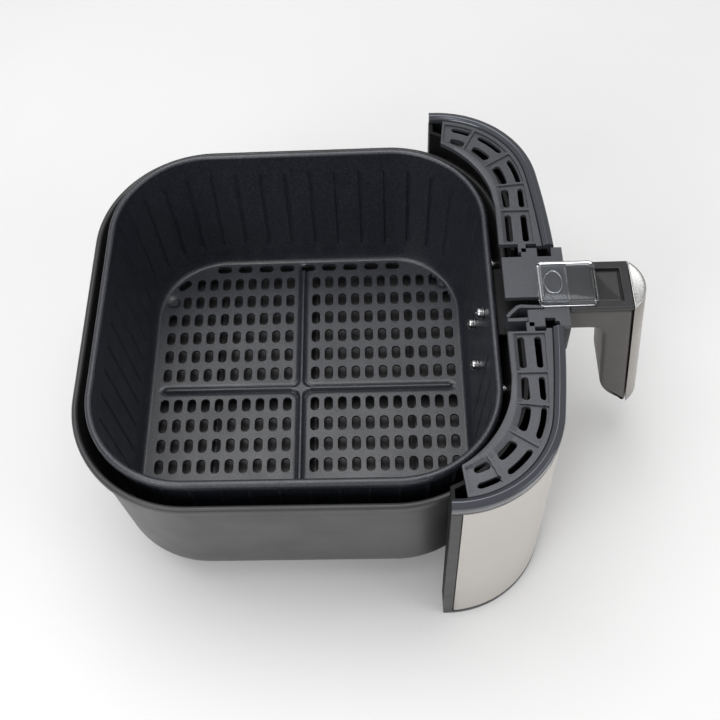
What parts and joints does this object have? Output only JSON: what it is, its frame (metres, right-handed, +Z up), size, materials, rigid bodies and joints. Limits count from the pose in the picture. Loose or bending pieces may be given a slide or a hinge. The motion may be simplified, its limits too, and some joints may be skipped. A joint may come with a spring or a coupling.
{
  "type": "air fryer drawer",
  "caption": "Removable drawer of a square air fryer: a slotted basket in a drip pan behind a curved vented front, with a leaning handle, release button and sliding guard.",
  "frame": {"origin": "centre of the pan's flat underside", "axes": "+Z up, -Y towards the handle and the curved front, +X to the right of someone who faces the front"},
  "size_m": [0.276, 0.3431, 0.1623],
  "materials": {
    "nonstick": "dark speckled non-stick coating",
    "pan_paint": "satin black outside, non-stick inside",
    "black_plastic": "satin black plastic",
    "grey_plastic": "dark grey metallic plastic",
    "gloss_black": "polished black plastic",
    "stainless": "finely brushed stainless steel",
    "steel": "plain steel hardware",
    "clear_plastic": "clear polished plastic"
  },
  "bodies": {
    "drawer": {"pan": "pan_paint", "pan_keeper": "steel", "keeper_rivet_1": "steel", "keeper_rivet_2": "steel", "pan_screw_1": "steel", "pan_screw_2": "steel", "pan_screw_3": "steel", "pan_screw_4": "steel", "fascia_carrier": "black_plastic", "fascia_shell": "grey_plastic", "front_panel": "stainless", "trim_strip_left": "gloss_black", "trim_strip_right": "gloss_black", "vent_plate_left": "grey_plastic", "vent_plate_right": "grey_plastic"},
    "basket": {"basket": "nonstick", "handle_bracket": "steel", "basket_screw_1": "steel", "basket_screw_2": "steel", "basket_screw_3": "steel", "basket_washer_1": "steel", "basket_washer_2": "steel", "basket_washer_3": "steel", "neck_screw_1": "steel", "neck_screw_2": "steel", "handle_grip": "black_plastic", "neck_deck": "grey_plastic", "handle_cover": "stainless", "handle_cap": "stainless", "cover_screw_1": "steel", "cover_screw_2": "steel", "latch_pin": "steel", "button_spring": "steel"},
    "latch": {"latch_lever": "steel"},
    "button": {"release_button": "black_plastic"},
    "guard": {"button_guard": "clear_plastic"}
  },
  "joints": [
    {"name": "basket_lift", "type": "slide", "parent": "drawer", "child": "basket", "axis": [0, 0, 1], "range_m": [0, 0.14]},
    {"name": "guard_slide", "type": "slide", "parent": "basket", "child": "guard", "axis": [0, -1, 0], "range_m": [0, 0.0145]},
    {"name": "button_press", "type": "slide", "parent": "basket", "child": "button", "axis": [0, 0, -1], "range_m": [0, 0.0035], "stiffness_N_per_m": 400, "deforming": ["button_spring"]},
    {"name": "latch_turn", "type": "hinge", "parent": "basket", "child": "latch", "pos_m": [0, -0.15, 0.113], "axis": [1, 0, 0], "range_deg": [0, 6.4]}
  ],
  "couplings": [
    {"joint": "latch_turn", "follows": "button_press", "rad_per_m": 31.4}
  ]
}
